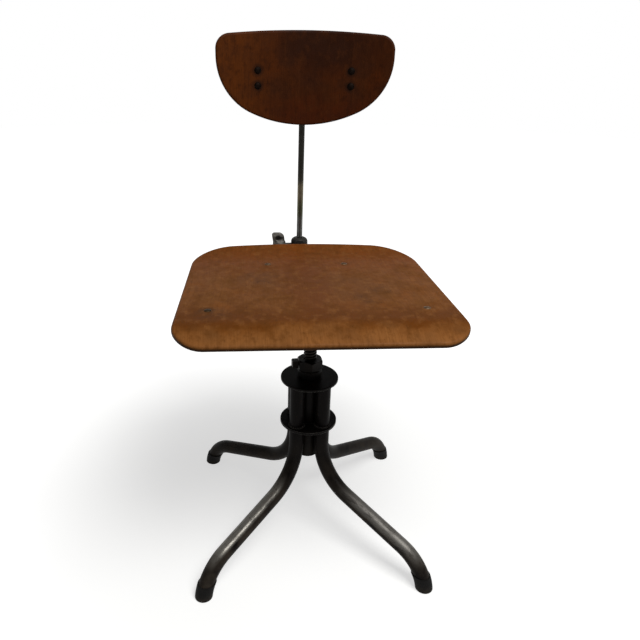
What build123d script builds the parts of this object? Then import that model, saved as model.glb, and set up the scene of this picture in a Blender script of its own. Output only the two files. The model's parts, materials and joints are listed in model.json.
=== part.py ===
from build123d import *
import os
from math import asin, cos, degrees, radians, sin, sqrt, tan

os.makedirs("parts", exist_ok=True)

# A workshop swivel chair: four bent tube legs round a column, a screw spindle that sets the
# height, a seat of moulded plywood that turns on it and a small plywood backrest on a round rod.
# Millimetres. The origin is on the floor under the column, +Z is up and the sitter faces -Y.

# Driving sizes of the base
FOOT_SPREAD = 355.0  # between the centres of neighbouring feet
LEG_TUBE_D = 25.0
LEG_TUBE_WALL = 2.0
LEG_SLOPE = 19.0  # degrees below level on the long run of a leg
FOOT_LEAN = 5.0  # degrees off upright where a foot meets the floor
FOOT_CORNER_HEIGHT = 42.5  # where the run and the foot would meet without their bend
LEG_TOP_BEND_R = 88.0
LEG_FOOT_BEND_R = 72.0
CAP_WALL = 1.5  # of the rubber cap round a foot
CAP_FLOOR = 3.0  # rubber under the end of the tube
CAP_HEIGHT = 24.0
COLUMN_TUBE_WALL = 4.0
COLUMN_BOTTOM_HEIGHT = 147.0
PLATE_D = 96.0
PLATE_THICKNESS = 4.0
LOWER_PLATE_HEIGHT = 211.0
UPPER_PLATE_HEIGHT = 293.0

# Driving sizes of the height screw
SPINDLE_D = 22.0
SPINDLE_BOTTOM_HEIGHT = 158.0
BUSH_WALL = 2.35  # of its spigot in the column tube
BUSH_HEAD_D = 40.0
BUSH_HEAD_HEIGHT = 16.0
BUSH_SPIGOT_LENGTH = 45.0
NUT_ACROSS_FLATS = 38.0
NUT_HEIGHT = 15.0
NUT_TURN = -24.0  # degrees, which way the corners of the nut point
NUT_WASHER_THICKNESS = 2.0
LOCK_SCREW_D = 8.0
LOCK_SCREW_HEAD = 12.0  # across its square
LOCK_SCREW_HEAD_HEIGHT = 10.4
KEY_WIDTH = 6.0
KEY_DEPTH = 3.0  # into the spindle
KEY_LENGTH = 30.0
JOURNAL_D = 18.0
SPINDLE_FLANGE_D = 34.0
SPINDLE_FLANGE_THICKNESS = 6.0
THRUST_WASHER_THICKNESS = 3.0

# Driving sizes of the seat
SEAT_HEIGHT = 456.0  # floor to the flat of the seat
SEAT_THICKNESS = 10.0
SEAT_EDGE_R = 4.0
SEAT_FRONT_WIDTH = 415.0
SEAT_REAR_WIDTH = 390.0
SEAT_FRONT_REACH = 183.0  # column axis to the front edge
SEAT_REAR_REACH = 203.0  # column axis to the middle of the rear edge
SEAT_REAR_BOW = 14.0
SEAT_FRONT_CORNER_R = 45.0
SEAT_REAR_CORNER_R = 80.0
SEAT_ROLL_START = 125.0  # the front roll begins this far in front of the column axis
SEAT_ROLL_R = 146.0
SEAT_LIFT_START = 124.0  # the rear lift begins this far behind the column axis
SEAT_LIFT_R = 330.0
FRONT_BOLT_X = 159.0
FRONT_BOLT_Y = -90.0
REAR_BOLT_X = 66.0
REAR_BOLT_Y = 110.0
SEAT_BOLT_D = 6.0
SEAT_BOLT_HEAD_D = 11.0
SEAT_BOLT_HEAD_HEIGHT = 1.7
SPIDER_THICKNESS = 5.0
SPIDER_ARM_WIDTH = 32.0
SPIDER_CENTRE_D = 96.0
HUB_D = 46.0
HUB_HEIGHT = 42.0
HUB_RECESS_D = 34.0
HUB_RECESS_DEPTH = 15.0

# Driving sizes of the back support
ROD_D = 11.0
ROD_TAIL = 56.0  # below the boss
BOSS_D = 32.0
BOSS_HEIGHT = 32.0
BOSS_ABOVE_SEAT = 6.0
BOSS_SHOULDER_R = 8.0
BACK_ARM_WIDTH = 30.0
BACK_ARM_THICKNESS = 8.0
BACK_ARM_CORNER = 3.0  # bevel where it meets the boss
ARM_SCREW_D = 6.0
WING_SCREW_D = 10.0
WING_SPAN = 50.0
WING_THICKNESS = 6.0
WING_HUB_D = 18.0
WING_HUB_LENGTH = 24.0
WING_SHANK = 11.0  # bare screw between the boss and the hub
WING_DISH_D = 11.0  # thumb hollow in each face of an ear
WING_DISH_DEPTH = 1.8

# Driving sizes of the backrest
HINGE_ABOVE_SEAT = 294.0
HINGE_CLEARANCE = 2.0  # between the eye on the rod and the strap
BACKREST_WIDTH = 298.0
BACKREST_RISE = 75.0  # hinge to the top edge
BACKREST_DROP = 77.0  # hinge to the bottom edge
BACKREST_SHOULDER = 41.0  # top edge down to the widest place
BACKREST_CROWN = 8.0
BACKREST_TOP_CORNER_R = 24.0
BACKREST_HOLLOW_R = 450.0  # curve of the face the sitter leans on
BACKREST_THICKNESS = 9.0
BACKREST_EDGE_R = 3.5
BACKREST_BEHIND = 226.0  # column axis to the middle of that face
BACK_BOLT_HALF_SPACING = 79.5
BACK_BOLT_ROW_SPACING = 24.5
BACK_BOLT_D = 6.0
BACK_BOLT_HEAD_D = 12.0
BACK_BOLT_HEAD_HEIGHT = 2.6
STRAP_LENGTH = 194.0
STRAP_HEIGHT = 44.0
STRAP_THICKNESS = 4.0
STRAP_CORNER_R = 9.0
EYE_D = 22.0
EYE_WIDTH = 12.0
EYE_NECK_D = 18.0
EYE_NECK_LENGTH = 17.0
LUG_THICKNESS = 5.0
HINGE_BOLT_D = 8.0

# Clearances
RUNNING_FIT = 0.1  # on the radius, between pieces that turn or slide
PIN_FIT = 0.05  # on the radius, for pins and pressed pieces
HOLE_FIT = 0.2  # on the radius, for bolts and tubes through plates
FACE_GAP = 0.3  # between a moving face and the face beside it
FILM = 0.1  # between curved faces that bear on each other
LOBE_OPENING = 1.2  # on the radius, round the column in the lower plate
EDGE_BREAK = 1.2  # bevel on the ends of turned pieces
STAND_OFF = 1.0  # small step between a piece and the one it stops at

BASE = (Align.CENTER, Align.CENTER, Align.MIN)
TOP = (Align.CENTER, Align.CENTER, Align.MAX)


def dome(base_d, height):
    """Radius of a domed head and the latitude in degrees at which its flat base cuts it."""
    radius = (base_d**2 / 4 + height**2) / (2 * height)
    return radius, degrees(asin((radius - height) / radius))


# Places that follow from the sizes of the base
spindle_bore = SPINDLE_D / 2 + RUNNING_FIT
column_bore = spindle_bore + BUSH_WALL + PIN_FIT
column_tube_d = 2 * (column_bore + COLUMN_TUBE_WALL)
foot_reach = FOOT_SPREAD / sqrt(2)
leg_reach = column_tube_d / 2 + LEG_TUBE_D / 2 + FACE_GAP
leg_bore = LEG_TUBE_D / 2 - LEG_TUBE_WALL
foot_corner_reach = foot_reach - FOOT_CORNER_HEIGHT * tan(radians(FOOT_LEAN))
leg_corner_height = FOOT_CORNER_HEIGHT + (foot_corner_reach - leg_reach) * tan(radians(LEG_SLOPE))
foot_turn = 90 - FOOT_LEAN - LEG_SLOPE
foot_tail = LEG_TUBE_D + max(LEG_FOOT_BEND_R * tan(radians(foot_turn / 2)), FOOT_CORNER_HEIGHT)
plate_top = UPPER_PLATE_HEIGHT + PLATE_THICKNESS
LEG_PLACES = ("rear_right", "rear_left", "front_left", "front_right")


def radial(azimuth):
    """Upright plane through the column axis, its x pointing out along a leg."""
    out = radians(azimuth)
    return Plane(origin=(0, 0, 0), x_dir=(cos(out), sin(out), 0), z_dir=(sin(out), -cos(out), 0))


# Legs: bent steel tubes, upright against the column, then sloping out to the feet, and a rubber
# cap drawn over the end of each
for quarter, place in enumerate(LEG_PLACES):
    with BuildLine(radial(45 + 90 * quarter)) as run:
        FilletPolyline(
            (leg_reach, UPPER_PLATE_HEIGHT),
            (leg_reach, leg_corner_height),
            (foot_corner_reach, FOOT_CORNER_HEIGHT),
            (
                foot_corner_reach + foot_tail * sin(radians(FOOT_LEAN)),
                FOOT_CORNER_HEIGHT - foot_tail * cos(radians(FOOT_LEAN)),
            ),
            radius=[LEG_TOP_BEND_R, LEG_FOOT_BEND_R],
        )
    top_end = Plane(run.line @ 0, z_dir=run.line % 0)

    with BuildPart() as leg:
        with BuildSketch(top_end):
            Circle(LEG_TUBE_D / 2)
            Circle(leg_bore, mode=Mode.SUBTRACT)
        sweep(path=run.line)
        split(bisect_by=Plane.XY.offset(CAP_FLOOR), keep=Keep.TOP)
    leg.part.label = f"leg_{place}"
    export_step(leg.part, f"parts/leg_{place}.step")

    with BuildPart() as tube_room:
        with BuildSketch(top_end):
            Circle(LEG_TUBE_D / 2 + FILM)
        sweep(path=run.line)
        split(bisect_by=Plane.XY.offset(CAP_FLOOR), keep=Keep.TOP)

    with BuildPart() as foot_cap:
        with BuildSketch(top_end):
            Circle(LEG_TUBE_D / 2 + FILM + CAP_WALL)
        sweep(path=run.line)
        split(bisect_by=Plane.XY, keep=Keep.TOP)
        split(bisect_by=Plane.XY.offset(CAP_HEIGHT), keep=Keep.BOTTOM)
        fillet(foot_cap.edges().group_by(Axis.Z)[0], CAP_WALL)
        add(tube_room.part, mode=Mode.SUBTRACT)
    foot_cap.part.label = f"foot_cap_{place}"
    export_step(foot_cap.part, f"parts/foot_cap_{place}.step")

# Column tube between the four legs
with BuildPart() as column_tube:
    with BuildSketch(Plane.XY.offset(COLUMN_BOTTOM_HEIGHT)):
        Circle(column_tube_d / 2)
        Circle(column_bore, mode=Mode.SUBTRACT)
    extrude(amount=plate_top - COLUMN_BOTTOM_HEIGHT)
column_tube.part.label = "column_tube"
export_step(column_tube.part, "parts/column_tube.step")

# Lower plate: the legs and the column pass through it, in one opening with four round lobes
with BuildPart() as lower_plate:
    with BuildSketch(Plane.XY.offset(LOWER_PLATE_HEIGHT)):
        Circle(PLATE_D / 2)
        Circle(column_tube_d / 2 + LOBE_OPENING, mode=Mode.SUBTRACT)
        with PolarLocations(leg_reach, 4, start_angle=45):
            Circle(LEG_TUBE_D / 2 + HOLE_FIT / 2, mode=Mode.SUBTRACT)
    extrude(amount=PLATE_THICKNESS)
lower_plate.part.label = "lower_plate"
export_step(lower_plate.part, "parts/lower_plate.step")

# Upper plate: caps the four legs
with BuildPart() as upper_plate:
    with BuildSketch(Plane.XY.offset(UPPER_PLATE_HEIGHT)):
        Circle(PLATE_D / 2)
        Circle(column_tube_d / 2 + HOLE_FIT, mode=Mode.SUBTRACT)
    extrude(amount=PLATE_THICKNESS)
    fillet(upper_plate.edges().group_by(Axis.Z)[-1].sort_by(SortBy.LENGTH)[-1], PLATE_THICKNESS / 4)
upper_plate.part.label = "upper_plate"
export_step(upper_plate.part, "parts/upper_plate.step")

# Column bush: a headed guide for the spindle, with a keyway inside
bush_top = plate_top + BUSH_HEAD_HEIGHT
bush_bottom = plate_top - BUSH_SPIGOT_LENGTH
key_out = spindle_bore + BUSH_WALL * 0.6
with BuildPart() as column_bush:
    with BuildSketch(Plane.XZ):
        with BuildLine():
            Polyline(
                (spindle_bore, bush_bottom),
                (column_bore - PIN_FIT, bush_bottom),
                (column_bore - PIN_FIT, plate_top),
                (BUSH_HEAD_D / 2, plate_top),
                (BUSH_HEAD_D / 2, bush_top),
                (spindle_bore, bush_top),
                close=True,
            )
        make_face()
    revolve(axis=Axis.Z)
    chamfer(column_bush.edges().group_by(Axis.Z)[-1].sort_by(SortBy.LENGTH)[-1], EDGE_BREAK)
    with BuildSketch(Plane.XY.offset(bush_top)):
        with Locations((-key_out, 0)):
            Rectangle(KEY_DEPTH, KEY_WIDTH, align=(Align.MIN, Align.CENTER))
    extrude(amount=-KEY_LENGTH, mode=Mode.SUBTRACT)
column_bush.part.label = "column_bush"
export_step(column_bush.part, "parts/column_bush.step")

# Key: a steel bar held in the bush, it stops the spindle from turning
with BuildPart() as spindle_key:
    with BuildSketch(Plane.XY.offset(bush_top)):
        with Locations((-key_out + PIN_FIT, 0)):
            key_reach = key_out - PIN_FIT - SPINDLE_D / 2 + KEY_DEPTH - FACE_GAP
            Rectangle(key_reach, KEY_WIDTH - 2 * PIN_FIT, align=(Align.MIN, Align.CENTER))
    extrude(amount=-KEY_LENGTH)
spindle_key.part.label = "spindle_key"
export_step(spindle_key.part, "parts/spindle_key.step")

# Nut washer on the bush
with BuildPart() as nut_washer:
    with BuildSketch(Plane.XY.offset(bush_top)):
        Circle(NUT_ACROSS_FLATS / 2)
        Circle(SPINDLE_D / 2 + FACE_GAP, mode=Mode.SUBTRACT)
    extrude(amount=NUT_WASHER_THICKNESS)
nut_washer.part.label = "nut_washer"
export_step(nut_washer.part, "parts/nut_washer.step")

# Height nut: turned with a spanner, it raises and lowers the spindle
nut_bottom = bush_top + NUT_WASHER_THICKNESS
nut_top = nut_bottom + NUT_HEIGHT
nut_corner = NUT_ACROSS_FLATS / sqrt(3)
nut_bevel = (nut_corner - NUT_ACROSS_FLATS / 2) * tan(radians(30))
lock_way = radians(NUT_TURN + 210)
lock_axis = Plane(
    origin=(0, 0, nut_bottom + NUT_HEIGHT / 2),
    x_dir=(0, 0, 1),
    z_dir=(cos(lock_way), sin(lock_way), 0),
)
with BuildPart() as height_nut:
    with BuildSketch(Plane.XY.offset(nut_bottom)):
        RegularPolygon(NUT_ACROSS_FLATS / 2, 6, major_radius=False, rotation=NUT_TURN)
        Circle(spindle_bore, mode=Mode.SUBTRACT)
    extrude(amount=NUT_HEIGHT)
    with BuildSketch(Plane.XZ):
        with BuildLine():
            Polyline(
                (NUT_ACROSS_FLATS / 2, nut_top),
                (2 * nut_corner - NUT_ACROSS_FLATS / 2, nut_top),
                (2 * nut_corner - NUT_ACROSS_FLATS / 2, nut_top - 2 * nut_bevel),
                close=True,
            )
        make_face()
    revolve(axis=Axis.Z, mode=Mode.SUBTRACT)
    with BuildSketch(lock_axis):
        Circle(LOCK_SCREW_D / 2 + PIN_FIT)
    extrude(amount=NUT_ACROSS_FLATS, mode=Mode.SUBTRACT)
height_nut.part.label = "height_nut"
export_step(height_nut.part, "parts/height_nut.step")

# Lock screw: square headed, through one flat of the nut, it grips the spindle
lock_head_start = NUT_ACROSS_FLATS / 2 + STAND_OFF
with BuildPart() as lock_screw:
    with BuildSketch(lock_axis.offset(spindle_bore + FACE_GAP)):
        Circle(LOCK_SCREW_D / 2)
    extrude(amount=lock_head_start - spindle_bore - FACE_GAP)
    with BuildSketch(lock_axis.offset(lock_head_start)):
        Rectangle(LOCK_SCREW_HEAD, LOCK_SCREW_HEAD)
    extrude(amount=LOCK_SCREW_HEAD_HEIGHT)
    chamfer(lock_screw.faces().sort_by(Axis.X)[0].edges(), EDGE_BREAK)
lock_screw.part.label = "lock_screw"
export_step(lock_screw.part, "parts/lock_screw.step")

# Heights of the back, and how far the rod stands behind the column axis
hinge_height = SEAT_HEIGHT + HINGE_ABOVE_SEAT
backrest_top = hinge_height + BACKREST_RISE
backrest_bottom = hinge_height - BACKREST_DROP
widest_height = backrest_top - BACKREST_SHOULDER
strap_back = BACKREST_BEHIND + BACKREST_THICKNESS + FILM + STRAP_THICKNESS
rod_behind = strap_back + HINGE_CLEARANCE + EYE_D / 2

# Heights under the seat, from the top down
seat_under = SEAT_HEIGHT - SEAT_THICKNESS
spider_under = seat_under - SPIDER_THICKNESS
hub_bottom = spider_under - HUB_HEIGHT
recess_floor = spider_under - HUB_RECESS_DEPTH
flange_top = hub_bottom - THRUST_WASHER_THICKNESS
flange_bottom = flange_top - SPINDLE_FLANGE_THICKNESS
journal_top = recess_floor + FACE_GAP
stud_d = JOURNAL_D * 2 / 3
retaining_washer_thickness = HUB_RECESS_DEPTH / 6
retaining_nut_height = HUB_RECESS_DEPTH / 2
stud_top = journal_top + retaining_washer_thickness + retaining_nut_height + STAND_OFF

# Spindle: screwed below its flange, a plain journal and a stud above it, slotted for the key
stop_bore_d = SPINDLE_D * 0.45
stop_bore_depth = SPINDLE_D
with BuildPart() as spindle:
    with BuildSketch(Plane.XZ):
        with BuildLine():
            Polyline(
                (0, SPINDLE_BOTTOM_HEIGHT),
                (SPINDLE_D / 2, SPINDLE_BOTTOM_HEIGHT),
                (SPINDLE_D / 2, flange_bottom),
                (SPINDLE_FLANGE_D / 2, flange_bottom),
                (SPINDLE_FLANGE_D / 2, flange_top),
                (JOURNAL_D / 2, flange_top),
                (JOURNAL_D / 2, journal_top),
                (stud_d / 2, journal_top),
                (stud_d / 2, stud_top),
                (0, stud_top),
                close=True,
            )
        make_face()
    revolve(axis=Axis.Z)
    with BuildSketch(Plane.XY.offset(SPINDLE_BOTTOM_HEIGHT)):
        with Locations((-SPINDLE_D / 2, 0)):
            Rectangle(2 * KEY_DEPTH, KEY_WIDTH)
    slot_length = flange_bottom - SPINDLE_FLANGE_THICKNESS - SPINDLE_BOTTOM_HEIGHT
    extrude(amount=slot_length, mode=Mode.SUBTRACT)
    with BuildSketch(Plane.XY.offset(SPINDLE_BOTTOM_HEIGHT)):
        Circle(stop_bore_d / 2)
    extrude(amount=stop_bore_depth, mode=Mode.SUBTRACT)
spindle.part.label = "spindle"
export_step(spindle.part, "parts/spindle.step")

# Stop washer and its screw under the spindle, so that it can't leave the column
stop_washer_thickness = SPINDLE_D / 8
stop_washer_r = column_bore - FACE_GAP
with BuildPart() as stop_washer:
    with BuildSketch(Plane.XY.offset(SPINDLE_BOTTOM_HEIGHT)):
        Circle(stop_washer_r)
        Circle(stop_bore_d / 2 + HOLE_FIT, mode=Mode.SUBTRACT)
    extrude(amount=-stop_washer_thickness)
stop_washer.part.label = "stop_washer"
export_step(stop_washer.part, "parts/stop_washer.step")

with BuildPart() as stop_screw:
    with BuildSketch(Plane.XY.offset(SPINDLE_BOTTOM_HEIGHT - stop_washer_thickness)):
        RegularPolygon(stop_bore_d * 0.8, 6, major_radius=False)
    extrude(amount=-stop_bore_d * 0.6)
    with BuildSketch(Plane.XY.offset(SPINDLE_BOTTOM_HEIGHT - stop_washer_thickness)):
        Circle(stop_bore_d / 2 - PIN_FIT)
    extrude(amount=stop_washer_thickness + stop_bore_depth * 0.8)
stop_screw.part.label = "stop_screw"
export_step(stop_screw.part, "parts/stop_screw.step")

# Thrust washer: the hub turns on it
with BuildPart() as thrust_washer:
    with BuildSketch(Plane.XY.offset(flange_top)):
        Circle(SPINDLE_FLANGE_D / 2)
        Circle(JOURNAL_D / 2 + PIN_FIT, mode=Mode.SUBTRACT)
    extrude(amount=THRUST_WASHER_THICKNESS)
thrust_washer.part.label = "thrust_washer"
export_step(thrust_washer.part, "parts/thrust_washer.step")

# Retaining washer and nut in the recess of the hub
with BuildPart() as retaining_washer:
    with BuildSketch(Plane.XY.offset(journal_top)):
        Circle(HUB_RECESS_D / 2 - 2 * STAND_OFF)
        Circle(stud_d / 2 + PIN_FIT, mode=Mode.SUBTRACT)
    extrude(amount=retaining_washer_thickness)
retaining_washer.part.label = "retaining_washer"
export_step(retaining_washer.part, "parts/retaining_washer.step")

with BuildPart() as retaining_nut:
    with BuildSketch(Plane.XY.offset(journal_top + retaining_washer_thickness)):
        RegularPolygon(stud_d * 0.8, 6, major_radius=False)
        Circle(stud_d / 2 + PIN_FIT, mode=Mode.SUBTRACT)
    extrude(amount=retaining_nut_height)
retaining_nut.part.label = "retaining_nut"
export_step(retaining_nut.part, "parts/retaining_nut.step")

# Seat hub: a turned boss under the spider
with BuildPart() as seat_hub:
    with BuildSketch(Plane.XY.offset(hub_bottom)):
        Circle(HUB_D / 2)
        Circle(JOURNAL_D / 2 + RUNNING_FIT, mode=Mode.SUBTRACT)
    extrude(amount=HUB_HEIGHT)
    with BuildSketch(Plane.XY.offset(spider_under)):
        Circle(HUB_RECESS_D / 2)
    extrude(amount=-HUB_RECESS_DEPTH, mode=Mode.SUBTRACT)
    chamfer(seat_hub.edges().group_by(Axis.Z)[0].sort_by(SortBy.LENGTH)[-1], EDGE_BREAK)
seat_hub.part.label = "seat_hub"
export_step(seat_hub.part, "parts/seat_hub.step")

# Places of the seat bolts and of the screws of the back arm
seat_bolt_places = [
    (-FRONT_BOLT_X, FRONT_BOLT_Y),
    (FRONT_BOLT_X, FRONT_BOLT_Y),
    (-REAR_BOLT_X, REAR_BOLT_Y),
    (REAR_BOLT_X, REAR_BOLT_Y),
]
arm_start = HUB_D / 2 + FACE_GAP
arm_screw_places = [(0, arm_start + BACK_ARM_WIDTH / 2), (0, REAR_BOLT_Y)]
arm_sink = ARM_SCREW_D / 2

# Spider: a flat steel plate with an arm to each seat bolt and a tongue for the back arm
with BuildPart() as seat_spider:
    with BuildSketch(Plane.XY.offset(spider_under)):
        Circle(SPIDER_CENTRE_D / 2)
        for x, y in seat_bolt_places + arm_screw_places[1:]:
            SlotCenterPoint((x / 2, y / 2), (x, y), SPIDER_ARM_WIDTH)
        Circle(HUB_RECESS_D / 2, mode=Mode.SUBTRACT)
        with Locations(*seat_bolt_places):
            Circle(SEAT_BOLT_D / 2 + HOLE_FIT, mode=Mode.SUBTRACT)
    extrude(amount=SPIDER_THICKNESS)
    with Locations(*[(x, y, seat_under) for x, y in arm_screw_places]):
        CounterSinkHole(ARM_SCREW_D / 2 + HOLE_FIT, ARM_SCREW_D + HOLE_FIT, counter_sink_angle=90)
seat_spider.part.label = "seat_spider"
export_step(seat_spider.part, "parts/seat_spider.step")

# Seat panel: plywood rolled down at the front and lifted at the rear
roll_centre = (-SEAT_ROLL_START, SEAT_HEIGHT - SEAT_ROLL_R)
roll_length = SEAT_FRONT_REACH + SEAT_EDGE_R - SEAT_ROLL_START
roll_sweep = degrees(asin(roll_length / (SEAT_ROLL_R - SEAT_THICKNESS)))
lift_centre = (SEAT_LIFT_START, SEAT_HEIGHT + SEAT_LIFT_R)
lift_length = SEAT_REAR_REACH + SEAT_EDGE_R - SEAT_LIFT_START
lift_sweep = degrees(asin(lift_length / SEAT_LIFT_R))
with BuildPart() as seat_panel:
    with BuildSketch(Plane.YZ):
        with BuildLine():
            roll_top = CenterArc(roll_centre, SEAT_ROLL_R, 90, roll_sweep)
            roll_under = CenterArc(roll_centre, SEAT_ROLL_R - SEAT_THICKNESS, 90, roll_sweep)
            lift_top = CenterArc(lift_centre, SEAT_LIFT_R, 270, lift_sweep)
            lift_under = CenterArc(lift_centre, SEAT_LIFT_R + SEAT_THICKNESS, 270, lift_sweep)
            Line(roll_top @ 0, lift_top @ 0)
            Line(roll_under @ 0, lift_under @ 0)
            Line(roll_top @ 1, roll_under @ 1)
            Line(lift_top @ 1, lift_under @ 1)
        make_face()
    extrude(amount=SEAT_FRONT_WIDTH, both=True)
    with BuildSketch(Plane.XY.offset(seat_under - SEAT_FRONT_REACH)) as plan:
        rear_corner = SEAT_REAR_REACH - SEAT_REAR_BOW
        with BuildLine():
            Polyline(
                (-SEAT_REAR_WIDTH / 2, rear_corner),
                (-SEAT_FRONT_WIDTH / 2, -SEAT_FRONT_REACH),
                (SEAT_FRONT_WIDTH / 2, -SEAT_FRONT_REACH),
                (SEAT_REAR_WIDTH / 2, rear_corner),
            )
            ThreePointArc(
                (SEAT_REAR_WIDTH / 2, rear_corner),
                (0, SEAT_REAR_REACH),
                (-SEAT_REAR_WIDTH / 2, rear_corner),
            )
        make_face()
        fillet(plan.vertices().group_by(Axis.Y)[0], SEAT_FRONT_CORNER_R)
        fillet(plan.vertices().group_by(Axis.Y)[-1], SEAT_REAR_CORNER_R)
    extrude(amount=2 * SEAT_FRONT_REACH, mode=Mode.INTERSECT)
    broad = seat_panel.faces().filter_by(lambda face: abs(face.normal_at().Z) > 0.7)
    upright = seat_panel.faces().filter_by(lambda face: abs(face.normal_at().Z) < 0.3)
    rim = [edge for edge in broad.edges() if edge in upright.edges()]
    fillet(rim, SEAT_EDGE_R)
    with Locations(*[(x, y, seat_under) for x, y in seat_bolt_places]):
        Cylinder(SEAT_BOLT_D / 2 + HOLE_FIT, 4 * SEAT_THICKNESS, mode=Mode.SUBTRACT)
seat_panel.part.label = "seat_panel"
export_step(seat_panel.part, "parts/seat_panel.step")

# Seat bolts with domed heads, and the washers and nuts under the spider
seat_washer_thickness = SEAT_BOLT_D / 4
seat_nut_height = SEAT_BOLT_D * 0.8
seat_head_r, seat_head_cut = dome(SEAT_BOLT_HEAD_D, SEAT_BOLT_HEAD_HEIGHT)
seat_bolt_length = SEAT_THICKNESS + SPIDER_THICKNESS + seat_washer_thickness + 1.5 * seat_nut_height
with BuildPart() as seat_bolts:
    with Locations(*[(x, y, SEAT_HEIGHT) for x, y in seat_bolt_places]):
        Sphere(seat_head_r, arc_size1=seat_head_cut, align=BASE)
        Cylinder(SEAT_BOLT_D / 2, seat_bolt_length, align=TOP)
seat_bolts.part.label = "seat_bolts"
export_step(seat_bolts.part, "parts/seat_bolts.step")

with BuildPart() as seat_washers:
    with BuildSketch(Plane.XY.offset(spider_under)):
        with Locations(*seat_bolt_places):
            Circle(SEAT_BOLT_D)
            Circle(SEAT_BOLT_D / 2 + PIN_FIT, mode=Mode.SUBTRACT)
    extrude(amount=-seat_washer_thickness)
seat_washers.part.label = "seat_washers"
export_step(seat_washers.part, "parts/seat_washers.step")

with BuildPart() as seat_nuts:
    with BuildSketch(Plane.XY.offset(spider_under - seat_washer_thickness)):
        with Locations(*seat_bolt_places):
            RegularPolygon(SEAT_BOLT_D * 0.83, 6, major_radius=False)
            Circle(SEAT_BOLT_D / 2 + PIN_FIT, mode=Mode.SUBTRACT)
    extrude(amount=-seat_nut_height)
seat_nuts.part.label = "seat_nuts"
export_step(seat_nuts.part, "parts/seat_nuts.step")

# Back arm: a flat bar under the spider, running back to the rod boss
boss_top = SEAT_HEIGHT + BOSS_ABOVE_SEAT
boss_bottom = boss_top - BOSS_HEIGHT
rod_bottom = boss_bottom - ROD_TAIL
boss_flat = rod_behind - BOSS_D * 0.42
with BuildPart() as back_arm:
    with BuildSketch(Plane.XY.offset(spider_under)):
        with Locations((0, (arm_start + boss_flat) / 2)):
            Rectangle(BACK_ARM_WIDTH, boss_flat - arm_start)
        with Locations(*arm_screw_places):
            Circle(ARM_SCREW_D / 2 + HOLE_FIT, mode=Mode.SUBTRACT)
    extrude(amount=-BACK_ARM_THICKNESS)
    far_corners = back_arm.edges().filter_by(Axis.Z).group_by(Axis.Y)[-1]
    chamfer(far_corners, BACK_ARM_CORNER)
back_arm.part.label = "back_arm"
export_step(back_arm.part, "parts/back_arm.step")

# Countersunk screws and nuts of the back arm
arm_nut_height = ARM_SCREW_D * 0.8
arm_screw_length = SPIDER_THICKNESS + BACK_ARM_THICKNESS + 1.4 * arm_nut_height
with BuildPart() as arm_screws:
    with Locations(*[(x, y, seat_under) for x, y in arm_screw_places]):
        Cone(ARM_SCREW_D / 2, ARM_SCREW_D - HOLE_FIT, ARM_SCREW_D / 2 - HOLE_FIT, align=TOP)
        Cylinder(ARM_SCREW_D / 2, arm_screw_length, align=TOP)
arm_screws.part.label = "arm_screws"
export_step(arm_screws.part, "parts/arm_screws.step")

with BuildPart() as arm_nuts:
    with BuildSketch(Plane.XY.offset(spider_under - BACK_ARM_THICKNESS)):
        with Locations(*arm_screw_places):
            RegularPolygon(ARM_SCREW_D * 0.83, 6, major_radius=False)
            Circle(ARM_SCREW_D / 2 + PIN_FIT, mode=Mode.SUBTRACT)
    extrude(amount=-arm_nut_height)
arm_nuts.part.label = "arm_nuts"
export_step(arm_nuts.part, "parts/arm_nuts.step")

# Rod boss: a round-shouldered steel block with a bore for the rod, a flat against the arm and a
# side hole for the wing screw
screw_height = (boss_top + boss_bottom) / 2
screw_axis = Plane(origin=(0, rod_behind, screw_height), x_dir=(0, 1, 0), z_dir=(-1, 0, 0))
with BuildPart() as rod_boss:
    with BuildSketch(Plane.XY.offset(boss_bottom)):
        with Locations((0, rod_behind)):
            Circle(BOSS_D / 2)
    extrude(amount=BOSS_HEIGHT)
    fillet(rod_boss.edges().group_by(Axis.Z)[-1], BOSS_SHOULDER_R)
    with BuildSketch(Plane.XY.offset(boss_bottom)):
        with Locations((0, boss_flat)):
            Rectangle(BOSS_D, BOSS_D, align=(Align.CENTER, Align.MAX))
        with Locations((0, rod_behind)):
            Circle(ROD_D / 2 + RUNNING_FIT)
    extrude(amount=BOSS_HEIGHT, mode=Mode.SUBTRACT)
    with BuildSketch(screw_axis):
        Circle(WING_SCREW_D / 2 + RUNNING_FIT)
    extrude(amount=BOSS_D, mode=Mode.SUBTRACT)
rod_boss.part.label = "rod_boss"
export_step(rod_boss.part, "parts/rod_boss.step")

# Clamp pad between the wing screw and the rod
pad_start = ROD_D / 2 + FACE_GAP
pad_thickness = WING_SCREW_D / 4
with BuildPart() as clamp_pad:
    with BuildSketch(screw_axis.offset(pad_start)):
        Circle(WING_SCREW_D / 2 - PIN_FIT)
    extrude(amount=pad_thickness)
clamp_pad.part.label = "clamp_pad"
export_step(clamp_pad.part, "parts/clamp_pad.step")

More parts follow.
